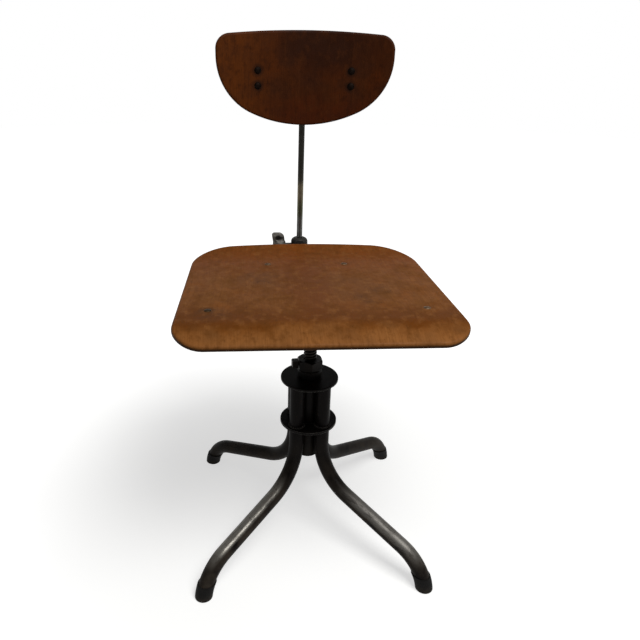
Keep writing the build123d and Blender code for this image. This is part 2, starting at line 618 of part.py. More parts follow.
# Wing screw: shank, hub and two ears, round on the side of the boss and hollowed for the thumb
wing_start = BOSS_D / 2 + WING_SHANK
ear_tip = WING_SPAN / 2
ear_foot = WING_HUB_D / 4
dish_out = WING_HUB_D / 2 + WING_DISH_D / 2 + STAND_OFF
dish_places = [(-wing_start - WING_HUB_LENGTH * 0.62, screw_height + way * dish_out) for way in (1, -1)]
with BuildPart() as wing_screw:
    with BuildSketch(screw_axis.offset(pad_start + pad_thickness)):
        Circle(WING_SCREW_D / 2)
    extrude(amount=wing_start - pad_start - pad_thickness + WING_HUB_LENGTH / 2)
    with BuildSketch(screw_axis.offset(wing_start)):
        Circle(WING_HUB_D / 2)
    extrude(amount=WING_HUB_LENGTH, taper=8)
    for way in (1, -1):
        with BuildSketch(Plane.XZ.offset(-rod_behind)) as ear:
            with BuildLine():
                Polyline(
                    (-wing_start - WING_HUB_LENGTH * 0.04, screw_height + way * ear_foot),
                    (-wing_start - WING_HUB_LENGTH * 0.13, screw_height + way * ear_tip),
                    (-wing_start - WING_HUB_LENGTH * 1.12, screw_height + way * ear_tip),
                    (-wing_start - WING_HUB_LENGTH * 0.98, screw_height + way * ear_foot),
                    close=True,
                )
            make_face()
            for corner, radius in ((0, WING_HUB_LENGTH * 0.2), (-1, WING_HUB_LENGTH * 0.42)):
                tips = ear.vertices().group_by(Axis.Y)[-1 if way > 0 else 0]
                fillet(tips.sort_by(Axis.X)[corner], radius)
    extrude(amount=WING_THICKNESS / 2, both=True)
    for side in (1, -1):
        dish_floor = side * (WING_THICKNESS / 2 - WING_DISH_DEPTH)
        with BuildSketch(Plane.XZ.offset(dish_floor - rod_behind)):
            with Locations(*dish_places):
                Circle(WING_DISH_D / 2)
        extrude(amount=side * WING_DISH_DEPTH, mode=Mode.SUBTRACT)
wing_screw.part.label = "wing_screw"
export_step(wing_screw.part, "parts/wing_screw.step")

# Back rod
neck_top = hinge_height - EYE_D / 2 - STAND_OFF
neck_bottom = neck_top - EYE_NECK_LENGTH
rod_top = neck_top - STAND_OFF
with BuildPart() as back_rod:
    with BuildSketch(Plane.XY.offset(rod_bottom)):
        with Locations((0, rod_behind)):
            Circle(ROD_D / 2)
    extrude(amount=rod_top - rod_bottom)
    chamfer(back_rod.edges().group_by(Axis.Z)[0], EDGE_BREAK)
back_rod.part.label = "back_rod"
export_step(back_rod.part, "parts/back_rod.step")

# Rod eye: a forged end on the rod, bored for the hinge bolt
hinge_axis = Plane(origin=(0, rod_behind, hinge_height), x_dir=(0, 1, 0), z_dir=(1, 0, 0))
with BuildPart() as rod_eye:
    with BuildSketch(Plane.XY.offset(neck_bottom)):
        with Locations((0, rod_behind)):
            Circle(EYE_NECK_D / 2)
    extrude(amount=EYE_NECK_LENGTH)
    with BuildSketch(hinge_axis):
        Circle(EYE_D / 2)
        web_height = hinge_height - neck_top + STAND_OFF
        Rectangle(EYE_NECK_D * 0.9, web_height, align=(Align.CENTER, Align.MAX))
    extrude(amount=EYE_WIDTH / 2, both=True)
    with BuildSketch(Plane.XY.offset(neck_bottom)):
        with Locations((0, rod_behind)):
            Circle(ROD_D / 2 + PIN_FIT)
    extrude(amount=rod_top - neck_bottom, mode=Mode.SUBTRACT)
    with BuildSketch(hinge_axis):
        Circle(HINGE_BOLT_D / 2 + PIN_FIT)
    extrude(amount=EYE_NECK_D, both=True, mode=Mode.SUBTRACT)
rod_eye.part.label = "rod_eye"
export_step(rod_eye.part, "parts/rod_eye.step")

# Backrest panel: plywood hollowed to the sitter, almost straight on top and round below
hollow_centre = BACKREST_BEHIND - BACKREST_HOLLOW_R
half_width = BACKREST_WIDTH / 2
drop = widest_height - backrest_bottom
side_r = 0.9 * drop
side_centre_x = half_width - side_r
bottom_r = (side_centre_x**2 + drop**2 - side_r**2) / (2 * (drop - side_r))
bottom_centre = backrest_bottom + bottom_r
centre_gap = bottom_r - side_r
meet_x = side_centre_x * bottom_r / centre_gap
meet_height = bottom_centre + (widest_height - bottom_centre) * bottom_r / centre_gap
corner_height = backrest_top - BACKREST_CROWN
side_way = (-(widest_height - bottom_centre) / centre_gap, side_centre_x / centre_gap)


def face_at(side, row):
    """Plane on the hollow face at one bolt, its z pointing to the sitter."""
    swing = side * asin(BACK_BOLT_HALF_SPACING / BACKREST_HOLLOW_R)
    return Plane(
        origin=(
            BACKREST_HOLLOW_R * sin(swing),
            hollow_centre + BACKREST_HOLLOW_R * cos(swing),
            hinge_height + row * BACK_BOLT_ROW_SPACING / 2,
        ),
        x_dir=(0, 0, 1),
        z_dir=(-sin(swing), -cos(swing), 0),
    )


back_bolt_faces = [face_at(side, row) for side in (-1, 1) for row in (-1, 1)]
with BuildPart() as backrest_panel:
    with BuildSketch(Plane.XY.offset(backrest_bottom - BACKREST_CROWN)):
        with Locations((0, hollow_centre)):
            Circle(BACKREST_HOLLOW_R + BACKREST_THICKNESS)
            Circle(BACKREST_HOLLOW_R, mode=Mode.SUBTRACT)
    extrude(amount=backrest_top - backrest_bottom + 2 * BACKREST_CROWN)
    with BuildSketch(Plane.XZ.offset(-BACKREST_BEHIND - BACKREST_HOLLOW_R)) as outline:
        with BuildLine():
            ThreePointArc((-meet_x, meet_height), (0, backrest_bottom), (meet_x, meet_height))
            TangentArc((meet_x, meet_height), (half_width, widest_height), tangent=side_way)
            Line((half_width, widest_height), (half_width, corner_height))
            ThreePointArc((half_width, corner_height), (0, backrest_top), (-half_width, corner_height))
            Line((-half_width, corner_height), (-half_width, widest_height))
            TangentArc(
                (-meet_x, meet_height),
                (-half_width, widest_height),
                tangent=(-side_way[0], side_way[1]),
            )
        make_face()
        fillet(outline.vertices().group_by(Axis.Y)[-1], BACKREST_TOP_CORNER_R)
    extrude(amount=2 * BACKREST_HOLLOW_R - half_width, mode=Mode.INTERSECT)
    fillet(backrest_panel.faces().sort_by(SortBy.AREA)[-2:].edges(), BACKREST_EDGE_R)
    with Locations(*back_bolt_faces):
        Cylinder(BACK_BOLT_D / 2 + HOLE_FIT, 4 * BACKREST_THICKNESS, mode=Mode.SUBTRACT)
backrest_panel.part.label = "backrest_panel"
export_step(backrest_panel.part, "parts/backrest_panel.step")

# Backrest strap: a flat bar bent to the back of the panel
strap_inner = BACKREST_HOLLOW_R + BACKREST_THICKNESS + FILM
with BuildPart() as back_strap:
    with BuildSketch(Plane.XY.offset(hinge_height - STRAP_HEIGHT)):
        with Locations((0, hollow_centre)):
            Circle(strap_inner + STRAP_THICKNESS)
            Circle(strap_inner, mode=Mode.SUBTRACT)
    extrude(amount=2 * STRAP_HEIGHT)
    behind_strap = (0, strap_back + STAND_OFF, hinge_height)
    with BuildSketch(Plane(origin=behind_strap, x_dir=(1, 0, 0), z_dir=(0, -1, 0))):
        RectangleRounded(STRAP_LENGTH, STRAP_HEIGHT, STRAP_CORNER_R)
    extrude(amount=BACKREST_HOLLOW_R, mode=Mode.INTERSECT)
    with Locations(*back_bolt_faces):
        Cylinder(BACK_BOLT_D / 2 + HOLE_FIT, 8 * BACKREST_THICKNESS, mode=Mode.SUBTRACT)
back_strap.part.label = "back_strap"
export_step(back_strap.part, "parts/back_strap.step")

# Backrest bolts with domed heads, and their nuts behind the strap
back_head_r, back_head_cut = dome(BACK_BOLT_HEAD_D, BACK_BOLT_HEAD_HEIGHT)
back_nut_height = BACK_BOLT_D * 0.8
back_grip = BACKREST_THICKNESS + FILM + STRAP_THICKNESS
with BuildPart() as back_bolts:
    with Locations(*[face.offset(FILM) for face in back_bolt_faces]):
        Sphere(back_head_r, arc_size1=back_head_cut, align=BASE)
        Cylinder(BACK_BOLT_D / 2, back_grip + 1.5 * back_nut_height, align=TOP)
back_bolts.part.label = "back_bolts"
export_step(back_bolts.part, "parts/back_bolts.step")

with BuildPart() as back_nuts:
    for face in back_bolt_faces:
        with BuildSketch(face.offset(-back_grip)):
            RegularPolygon(BACK_BOLT_D * 0.83, 6, major_radius=False)
            Circle(BACK_BOLT_D / 2 + PIN_FIT, mode=Mode.SUBTRACT)
        extrude(amount=-back_nut_height)
back_nuts.part.label = "back_nuts"
export_step(back_nuts.part, "parts/back_nuts.step")

# Hinge lugs: two plates welded to the strap, one each side of the rod eye
lug_start = EYE_WIDTH / 2 + FACE_GAP
lug_end = lug_start + LUG_THICKNESS
lug_r = EYE_D / 2 - STAND_OFF
with BuildPart() as hinge_lugs:
    for side in (1, -1):
        beside_eye = (side * lug_start, rod_behind, hinge_height)
        with BuildSketch(Plane(origin=beside_eye, x_dir=(0, 1, 0), z_dir=(side, 0, 0))):
            Circle(lug_r)
            Rectangle(rod_behind - strap_back, 2 * lug_r, align=(Align.MAX, Align.CENTER))
            Circle(HINGE_BOLT_D / 2 + PIN_FIT, mode=Mode.SUBTRACT)
        extrude(amount=LUG_THICKNESS)
hinge_lugs.part.label = "hinge_lugs"
export_step(hinge_lugs.part, "parts/hinge_lugs.step")

# Hinge bolt through lugs and eye, and its nut
hinge_head_height = HINGE_BOLT_D * 0.7
hinge_nut_height = HINGE_BOLT_D * 0.8
with BuildPart() as hinge_bolt:
    with BuildSketch(hinge_axis.offset(-lug_end)):
        RegularPolygon(HINGE_BOLT_D * 0.81, 6, major_radius=False)
    extrude(amount=-hinge_head_height)
    with BuildSketch(hinge_axis.offset(-lug_end)):
        Circle(HINGE_BOLT_D / 2)
    extrude(amount=2 * lug_end + 1.3 * hinge_nut_height)
hinge_bolt.part.label = "hinge_bolt"
export_step(hinge_bolt.part, "parts/hinge_bolt.step")

with BuildPart() as hinge_nut:
    with BuildSketch(hinge_axis.offset(lug_end)):
        RegularPolygon(HINGE_BOLT_D * 0.81, 6, major_radius=False)
        Circle(HINGE_BOLT_D / 2 + PIN_FIT, mode=Mode.SUBTRACT)
    extrude(amount=hinge_nut_height)
hinge_nut.part.label = "hinge_nut"
export_step(hinge_nut.part, "parts/hinge_nut.step")
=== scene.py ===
import json
from functools import partial
from math import atan2, ceil, cos, pi, radians, sin, sqrt

import bmesh
import bpy
from mathutils import Matrix, Vector


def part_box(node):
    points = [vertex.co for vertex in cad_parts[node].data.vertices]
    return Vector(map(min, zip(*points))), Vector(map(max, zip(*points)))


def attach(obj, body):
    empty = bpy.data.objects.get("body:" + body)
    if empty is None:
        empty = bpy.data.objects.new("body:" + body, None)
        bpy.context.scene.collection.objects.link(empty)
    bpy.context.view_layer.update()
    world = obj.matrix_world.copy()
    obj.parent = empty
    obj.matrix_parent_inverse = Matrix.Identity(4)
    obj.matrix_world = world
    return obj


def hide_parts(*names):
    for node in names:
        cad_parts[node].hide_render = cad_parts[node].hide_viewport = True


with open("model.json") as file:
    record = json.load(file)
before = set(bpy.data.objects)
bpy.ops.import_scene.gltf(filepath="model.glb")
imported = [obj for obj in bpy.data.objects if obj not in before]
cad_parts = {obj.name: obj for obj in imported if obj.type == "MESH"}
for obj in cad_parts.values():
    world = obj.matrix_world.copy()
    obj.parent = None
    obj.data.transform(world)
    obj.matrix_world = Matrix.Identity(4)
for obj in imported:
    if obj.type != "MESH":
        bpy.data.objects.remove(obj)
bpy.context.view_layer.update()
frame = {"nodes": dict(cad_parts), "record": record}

# A workshop swivel chair. Metres, in the frame of the CAD model: +Z up, the sitter faces -Y.
MM = 0.001

# Sizes of the CAD pieces that the finishes and the added pieces follow
SEAT_THICKNESS = 10 * MM
SEAT_ROLL_START = 125 * MM
SEAT_ROLL_R = 146 * MM
SEAT_LIFT_START = 124 * MM
SEAT_LIFT_R = 330 * MM
FRONT_BOLT = (159 * MM, -90 * MM)
REAR_BOLT = (66 * MM, 110 * MM)
BACKREST_THICKNESS = 9 * MM
BACKREST_HOLLOW_R = 450 * MM
BACK_BOLT_SIDE = 79.5 * MM
BACK_BOLT_ROW = 12.25 * MM
STRAP_THICKNESS = 4.1 * MM
PLY_THICKNESS = 1.45 * MM
LEG_TUBE_R = 12.5 * MM
LEG_REACH = 30.3 * MM
SPINDLE_R = 11 * MM
THREAD_ROOT_R = 8.6 * MM
THREAD_PITCH = 5 * MM
FLANGE_R = 17 * MM
FLANGE_THICKNESS = 6 * MM
JOURNAL_R = 9 * MM
STUD_R = 6 * MM
STUD_LENGTH = 11 * MM
KEY_WIDTH = 6 * MM
KEY_DEPTH = 3 * MM
ROD_R = 5.5 * MM
DISH_OUT = 15.5 * MM
EAR_MIDDLE = 12 * MM

# Places read from the frame
seat_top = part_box("seat_spider")[1].z + SEAT_THICKNESS
strap_low, strap_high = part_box("back_strap")
backrest_face = strap_high.y - STRAP_THICKNESS - BACKREST_THICKNESS
backrest_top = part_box("backrest_panel")[1].z
hinge_height = (strap_low.z + strap_high.z) / 2
lower_plate_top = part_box("lower_plate")[1].z
upper_plate_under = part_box("upper_plate")[0].z
spindle_low, spindle_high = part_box("spindle")
flange_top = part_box("thrust_washer")[0].z
hub_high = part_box("seat_hub")[1]
arm_low, arm_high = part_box("back_arm")
eye_low, eye_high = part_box("rod_eye")
rod_behind = (eye_low.y + eye_high.y) / 2
lugs_low, lugs_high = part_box("hinge_lugs")
boss_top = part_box("rod_boss")[1].z
wing_low, wing_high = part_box("wing_screw")
screw_height = (wing_low.z + wing_high.z) / 2
ear_x = wing_low.x + EAR_MIDDLE

# The photograph's camera, set against a chair turned a little to its own left
IMAGE_PX = 640
FOCAL_PX = 631.9
AXIS_U = 284.74
SENSOR = 36.0
CHAIR_TURN = radians(3.75)
CAMERA_SIDE = -42.6 * MM
CAMERA_BACK = 928.0 * MM
CAMERA_HEIGHT = 810.3 * MM
CAMERA_PITCH = radians(23.94)
CAMERA_ROLL = radians(0.75)


def linear(code):
    """Linear RGBA of an sRGB hex colour."""
    channels = [int(code[start : start + 2], 16) / 255 for start in (1, 3, 5)]
    return [c / 12.92 if c <= 0.04045 else ((c + 0.055) / 1.055) ** 2.4 for c in channels] + [1.0]


def add_node(tree, kind, inputs=(), **settings):
    """Adds a node with its settings. Each input is a socket to link from, or a value."""
    made = tree.nodes.new(kind)
    for name, value in settings.items():
        setattr(made, name, value)
    for name, value in dict(inputs).items():
        if isinstance(value, bpy.types.NodeSocket):
            tree.links.new(value, made.inputs[name])
        else:
            made.inputs[name].default_value = value
    return made


def new_finish(name, **constants):
    """A new material with these constants on its shader. Gives it, a call that adds a node to it, and the
    Object coordinates."""
    material = bpy.data.materials.new(name)
    material.use_nodes = True
    put = partial(add_node, material.node_tree)
    shader = material.node_tree.nodes["Principled BSDF"]
    for socket, value in constants.items():
        shader.inputs[socket.replace("_", " ")].default_value = value
    return material, put, put("ShaderNodeTexCoord").outputs["Object"]


def finish_with(material, sockets):
    """Links the shader's named sockets and returns the material."""
    shader = material.node_tree.nodes["Principled BSDF"]
    for name, value in sockets.items():
        material.node_tree.links.new(value, shader.inputs[name])
    return material


def patches(put, place, size, low, high, strength=1.0, detail=3.0):
    """Irregular patches of about that size in mm along x, y and z: 0 where the noise is below low,
    strength where it is above high. detail is the number of finer layers in the noise."""
    scaled = {"Vector": place, "Scale": [1 / (side * MM) for side in size]}
    run = put("ShaderNodeMapping", scaled).outputs[0]
    drawn = {"Vector": run, "Scale": 1.0, "Detail": detail, "Roughness": 0.6}
    noise = put("ShaderNodeTexNoise", drawn).outputs["Fac"]
    span = {"Value": noise, "From Min": low, "From Max": high, "To Max": strength}
    return put("ShaderNodeMapRange", span).outputs[0]


# A place drawn round a point is full within this share of its size, and fades from there
FULL_SHARE = 0.45


def near(put, place, centre, size, strength=1.0):
    """1 times strength round a point, fading to 0 at that size in mm along x, y and z."""
    arm = put("ShaderNodeVectorMath", {0: place, 1: centre}, operation="SUBTRACT").outputs[0]
    shares = {0: arm, 1: [1 / (side * MM) for side in size]}
    arm = put("ShaderNodeVectorMath", shares, operation="MULTIPLY").outputs[0]
    reach = put("ShaderNodeVectorMath", {0: arm}, operation="LENGTH").outputs["Value"]
    span = {"Value": reach, "From Min": 1.0, "From Max": FULL_SHARE, "To Max": strength}
    return put("ShaderNodeMapRange", span, interpolation_type="SMOOTHSTEP").outputs[0]


def layered(put, tone, layers):
    """A colour with others laid over it, each where its mask is 1."""
    for mask, colour in layers:
        tone = put("ShaderNodeMix", {0: mask, 6: tone, 7: linear(colour)}, data_type="RGBA").outputs[2]
    return tone


# The cosine between the true normal and the rounded one where an edge starts to be worn, and is fully worn
EDGE_START = 0.985
EDGE_FULL = 0.86


def soft_edges(put, radius, strength):
    """The normal of a piece whose sharp edges are rounded over that radius, and a mask of those edges."""
    rounded = put("ShaderNodeBevel", {"Radius": radius}, samples=6).outputs[0]
    true = put("ShaderNodeNewGeometry").outputs["Normal"]
    same = put("ShaderNodeVectorMath", {0: rounded, 1: true}, operation="DOT_PRODUCT").outputs["Value"]
    span = {"Value": same, "From Min": EDGE_START, "From Max": EDGE_FULL, "To Max": strength}
    return rounded, put("ShaderNodeMapRange", span).outputs[0]


def place_camera():
    lens = bpy.data.cameras.new("photo_camera")
    lens.sensor_width = SENSOR
    lens.lens = SENSOR * FOCAL_PX / IMAGE_PX
    lens.shift_x = (IMAGE_PX / 2 - AXIS_U) / IMAGE_PX
    camera = bpy.data.objects.new("photo_camera", lens)
    camera.matrix_world = (
        Matrix.Rotation(-CHAIR_TURN, 4, "Z")
        @ Matrix.Translation((CAMERA_SIDE, -CAMERA_BACK, CAMERA_HEIGHT))
        @ Matrix.Rotation(pi / 2 - CAMERA_PITCH, 4, "X")
        @ Matrix.Rotation(CAMERA_ROLL, 4, "Z")
    )
    bpy.context.scene.collection.objects.link(camera)
    bpy.context.scene.camera = camera


def seat_depth(put, place):
    """How deep a point lies under the top veneer of the seat, along its roll and its lift."""
    split = put("ShaderNodeSeparateXYZ", {0: place}).outputs
    below = put("ShaderNodeMath", {0: seat_top, 1: split["Z"]}, operation="SUBTRACT").outputs[0]
    roll_y = put("ShaderNodeMath", {0: split["Y"], 1: SEAT_ROLL_START}, operation="ADD").outputs[0]
    roll_y = put("ShaderNodeMath", {0: roll_y, 1: 0.0}, operation="MINIMUM").outputs[0]
    roll_z = put("ShaderNodeMath", {0: SEAT_ROLL_R, 1: below}, operation="SUBTRACT").outputs[0]
    roll_arm = put("ShaderNodeCombineXYZ", {"Y": roll_y, "Z": roll_z}).outputs[0]
    roll_r = put("ShaderNodeVectorMath", {0: roll_arm}, operation="LENGTH").outputs["Value"]
    lift_y = put("ShaderNodeMath", {0: split["Y"], 1: SEAT_LIFT_START}, operation="SUBTRACT").outputs[0]
    lift_y = put("ShaderNodeMath", {0: lift_y, 1: 0.0}, operation="MAXIMUM").outputs[0]
    lift_z = put("ShaderNodeMath", {0: SEAT_LIFT_R, 1: below}, operation="ADD").outputs[0]
    lift_arm = put("ShaderNodeCombineXYZ", {"Y": lift_y, "Z": lift_z}).outputs[0]
    lift_r = put("ShaderNodeVectorMath", {0: lift_arm}, operation="LENGTH").outputs["Value"]
    depth = put("ShaderNodeMath", {0: lift_r, 1: roll_r}, operation="SUBTRACT").outputs[0]
    depth = put("ShaderNodeMath", {0: depth, 1: SEAT_ROLL_R - SEAT_LIFT_R}, operation="ADD").outputs[0]
    return put("ShaderNodeMath", {0: depth, 1: below}, operation="SUBTRACT").outputs[0]


def backrest_depth(put, place):
    """How deep a point lies behind the hollow face of the backrest."""
    axis_y = backrest_face - BACKREST_HOLLOW_R
    arm = put("ShaderNodeVectorMath", {0: place, 1: (0, axis_y, 0)}, operation="SUBTRACT").outputs[0]
    arm = put("ShaderNodeVectorMath", {0: arm, 1: (1, 1, 0)}, operation="MULTIPLY").outputs[0]
    reach = put("ShaderNodeVectorMath", {0: arm}, operation="LENGTH").outputs["Value"]
    return put("ShaderNodeMath", {0: reach, 1: BACKREST_HOLLOW_R}, operation="SUBTRACT").outputs[0]


# The border of a worn zone: the size of its lobes, and how far they reach to either side
LOBE_SIZE = 42 * MM
LOBE_REACH = 38 * MM


def ragged_zones(put, place, axis, zones):
    """Masks along an axis, each from 0 at its start to its strength at its end, with uneven borders."""
    lobes = {"Vector": place, "Scale": 1 / LOBE_SIZE, "Detail": 5.0}
    ragged = put("ShaderNodeTexNoise", lobes).outputs["Fac"]
    reach = {"Value": ragged, "To Min": -LOBE_REACH, "To Max": LOBE_REACH}
    ragged = put("ShaderNodeMapRange", reach).outputs[0]
    along = put("ShaderNodeSeparateXYZ", {0: place}).outputs[axis]
    along = put("ShaderNodeMath", {0: along, 1: ragged}, operation="ADD").outputs[0]
    masks = []
    for start, end, strength in zones:
        span = {"Value": along, "From Min": start * MM, "From Max": end * MM, "To Max": strength}
        masks.append(put("ShaderNodeMapRange", span, interpolation_type="SMOOTHSTEP").outputs[0])
    return masks


# Zones of the seat: where along y each starts and where it is full, in mm, and its strength. The band before
# the roll is painted shade, and the roll is a painted highlight.
INTO_SHADED_BAND = (-66, -112, 0.8)
OUT_OF_SHADED_BAND = (-172, -128, 1.0)
LIT_ROLL = (-126, -186, 0.95)
REAR = (10, 150, 0.8)
# Where the seat is sat on most, and a red streak of its veneer: centre, size in mm and strength
SAT_ON = ((20 * MM, -10 * MM, seat_top), (150, 95, 200), 0.45)
RED_STREAK = ((-10 * MM, 10 * MM, seat_top), (52, 190, 60), 0.5)
# Stains on the seat: x, y and width in mm
STAINS = ((-84, 44, 42), (104, -16, 24), (78, -50, 30), (-150, -104, 36))
# Grime round the seat bolts: side, place and strength
BOLT_STAINS = ((-1, FRONT_BOLT, 0.55), (1, FRONT_BOLT, 0.2), (-1, REAR_BOLT, 0.2), (1, REAR_BOLT, 0.2))


def seat_marks(put, place, tone):
    """Years of use on the seat: a greyer worn middle with a red streak, a few stains, and grime round the
    bolts. A dark band before the roll is painted shade, and the lighter roll is a painted highlight."""
    zones = (INTO_SHADED_BAND, OUT_OF_SHADED_BAND, LIT_ROLL, REAR)
    into_band, out_of_band, roll, rear = ragged_zones(put, place, "Y", zones)
    band = put("ShaderNodeMath", {0: into_band, 1: out_of_band}, operation="MULTIPLY").outputs[0]
    layers = [
        (rear, "#743c11"),
        (near(put, place, *SAT_ON), "#633c1c"),
        (near(put, place, *RED_STREAK), "#62300e"),
        # painted shade in the band before the roll, then a painted highlight on the roll
        (band, "#592d05"),
        (roll, "#82532a"),
    ]
    ragged = patches(put, place, (15, 15, 15), 0.36, 0.58, detail=4.0)
    for x, y, width in STAINS:
        stain = near(put, place, (x * MM, y * MM, seat_top), (width, width, 40), 0.5)
        stain = put("ShaderNodeMath", {0: stain, 1: ragged}, operation="MULTIPLY").outputs[0]
        layers.append((stain, "#472b16"))
    for side, (x, y), strength in BOLT_STAINS:
        layers.append((near(put, place, (side * x, y, seat_top), (16, 15, 40), strength), "#3d2612"))
    return layered(put, tone, layers)


# Zones of the backrest: where each starts along x or z and where it is full, in mm, and its strength. The
# lighter side is painted light.
LIT_SIDE = (0, -140, 0.9)
RED_FOOT = (735, 690, 0.5)
# The darkened top of the backrest: centre, size in mm and strength
DARK_TOP = ((35 * MM, backrest_face, backrest_top - 17 * MM), (105, 200, 62), 0.75)


def backrest_marks(put, place, tone):
    """The backrest is painted lighter on one side, and is redder at the foot, darkest at the top, and
    stained round its bolts."""
    (side,) = ragged_zones(put, place, "X", [LIT_SIDE])
    (foot,) = ragged_zones(put, place, "Z", [RED_FOOT])
    # side is painted light on the left of the backrest
    layers = [(foot, "#431806"), (side, "#52280a"), (near(put, place, *DARK_TOP), "#221008")]
    for x in (-BACK_BOLT_SIDE, BACK_BOLT_SIDE):
        for row in (-BACK_BOLT_ROW, BACK_BOLT_ROW):
            bolt = (x, backrest_face, hinge_height + row)
            layers.append((near(put, place, bolt, (13, 60, 13), 0.8), "#1d0f09"))
    return layered(put, tone, layers)


# The plies show on the rim between the two face veneers: how deep under the one they start and are full,
# and how far above the other they end and are still full
RIM_START = 2.0 * MM
RIM_FULL = 4.2 * MM
RIM_END = 0.35 * MM
RIM_END_FULL = 0.9 * MM
# The grain bends to either side over this length, by this much
GRAIN_BEND = 160 * MM
GRAIN_SWAY = 9 * MM


def moulded_ply(name, tones, grain, depth_of, thickness, marks):
    """Moulded beech plywood under old brushed varnish: streaked brown veneer with short dark pores,
    cloudy wear, a low sheen, and the plies drawn as dark and light lines round the rim. The grain is
    drawn about twice as coarse as beech, so that it shows from a step away. grain gives the sizes in
    mm of streaks, figure and pores."""
    material, put, place = new_finish(name, Specular_IOR_Level=0.045)
    bend = {"Vector": place, "Scale": 1 / GRAIN_BEND, "Detail": 1.0}
    sway = put("ShaderNodeTexNoise", bend).outputs["Fac"]
    sway = put("ShaderNodeMapRange", {"Value": sway, "To Min": -GRAIN_SWAY, "To Max": GRAIN_SWAY}).outputs[0]
    wavy = put("ShaderNodeVectorMath", {0: place, 1: sway}, operation="ADD").outputs[0]
    streaks, figure, pores = grain
    figured = patches(put, wavy, figure, 0.36, 0.64)
    flush = patches(put, place, (38, 46, 38), 0.48, 0.68, strength=0.8, detail=4.0)
    smudge = patches(put, place, (34, 42, 34), 0.45, 0.75, strength=0.5)
    mottle = patches(put, place, (8, 12, 12), 0.48, 0.7, strength=0.55, detail=4.0)
    rubbed = patches(put, place, (13, 17, 17), 0.5, 0.7, strength=0.5, detail=4.0)
    streak = patches(put, wavy, streaks, 0.42, 0.74, strength=0.4, detail=4.0)
    pore = patches(put, wavy, pores, 0.63, 0.75, strength=0.35, detail=1.0)
    tone = layered(put, linear(tones["body"]), [(figured, tones["pale"]), (flush, tones["flush"])])
    tone = marks(put, place, tone)
    wear = [(smudge, tones["smudge"]), (mottle, tones["deep"]), (rubbed, tones["rubbed"])]
    tone = layered(put, tone, wear + [(streak, tones["deep"]), (pore, tones["pore"])])

    depth = depth_of(put, place)
    ply = put("ShaderNodeMath", {0: depth, 1: PLY_THICKNESS}, operation="DIVIDE").outputs[0]
    ply = put("ShaderNodeMath", {0: ply}, operation="FLOOR").outputs[0]
    ply = put("ShaderNodeMath", {0: ply, 1: 2.0}, operation="MODULO").outputs[0]
    edge_grime = patches(put, place, (14, 14, 14), 0.35, 0.65, strength=0.8)
    ply_tone = layered(put, linear(tones["edge"]), [(ply, tones["edge_dark"]), (edge_grime, tones["pore"])])
    upper = {"Value": depth, "From Min": RIM_START, "From Max": RIM_FULL}
    upper = put("ShaderNodeMapRange", upper).outputs[0]
    lower = {"Value": depth, "From Min": thickness - RIM_END, "From Max": thickness - RIM_END_FULL}
    lower = put("ShaderNodeMapRange", lower).outputs[0]
    rim = put("ShaderNodeMath", {0: upper, 1: lower}, operation="MULTIPLY").outputs[0]
    tone = put("ShaderNodeMix", {0: rim, 6: tone, 7: ply_tone}, data_type="RGBA").outputs[2]

    dull = put("ShaderNodeMapRange", {"Value": smudge, "To Min": 0.45, "To Max": 0.8}).outputs[0]
    relief = put("ShaderNodeMath", {0: streak, 1: pore}, operation="ADD").outputs[0]
    bump = put("ShaderNodeBump", {"Height": relief, "Strength": 0.35, "Distance": -0.2 * MM}).outputs[0]
    return finish_with(material, {"Base Color": tone, "Roughness": dull, "Normal": bump})


# The seat's rim tones, edge and edge_dark, are dark partly for dirty varnish and partly as painted shade
# along the underside of its front edge.
SEAT_TONES = {
    "body": "#6c3f19",
    "pale": "#74471f",
    "flush": "#7a4516",
    "smudge": "#57381d",
    "rubbed": "#82532a",
    "deep": "#56300b",
    "pore": "#3a210c",
    "edge": "#3c230e",
    "edge_dark": "#1f1207",
}
# The backrest is the seat's ply. Its tones are darker partly for a darker varnish and partly as painted
# shade on its upright face.
BACKREST_TONES = {
    "body": "#351706",
    "pale": "#3b1b08",
    "flush": "#421c06",
    "smudge": "#2a1409",
    "rubbed": "#43210b",
    "deep": "#250e04",
    "pore": "#1a0b05",
    "edge": "#351c0d",
    "edge_dark": "#1c0d06",
}
SEAT_GRAIN = ((2.2, 75, 75), (26, 300, 300), (1.4, 12, 12))
BACKREST_GRAIN = ((2.2, 75, 75), (24, 300, 300), (1.4, 12, 12))


def leg_run(put, place):
    """Place along a leg, across it and up: the legs run out on the diagonals of the frame."""
    split = put("ShaderNodeSeparateXYZ", {0: place}).outputs
    sides = []
    for operation in ("ADD", "SUBTRACT"):
        side = put("ShaderNodeMath", {0: split["X"], 1: split["Y"]}, operation=operation).outputs[0]
        side = put("ShaderNodeMath", {0: side, 1: sqrt(0.5)}, operation="MULTIPLY").outputs[0]
        sides.append(put("ShaderNodeMath", {0: side}, operation="ABSOLUTE").outputs[0])
    along = put("ShaderNodeMath", {0: sides[0], 1: sides[1]}, operation="MAXIMUM").outputs[0]
    across = put("ShaderNodeMath", {0: sides[0], 1: sides[1]}, operation="MINIMUM").outputs[0]
    return put("ShaderNodeCombineXYZ", {"X": along, "Y": across, "Z": split["Z"]}).outputs[0]


# Dust lies on the enamel below this height, and in full below this one
DUST_TOP = 200 * MM
DUST_FULL = 80 * MM
# How much of the steel under the enamel shows where it is rubbed
RUBBED_THROUGH = 0.6
ORANGE_PEEL = 2.4 * MM
# Where the enamel is rubbed: scuffed grey on the right front leg by shoes and on the rod boss by hands, and
# polished on top of the left front leg, where its light grey strip is also a painted highlight. Each has a
# place, a size in mm, a strength, and how far up the face has to point for the wear to start and to be full.
RUBBED = {
    "scuffed": (
        ((118 * MM, -118 * MM, 83 * MM), (105, 105, 75), 1.0, 0.1, 0.75),
        ((4 * MM, rod_behind, boss_top), (26, 26, 20), 0.17, -0.8, 0.3),
    ),
    "polished": (((-108 * MM, -108 * MM, 90 * MM), (120, 120, 90), 1.0, 0.55, 0.95),),
}


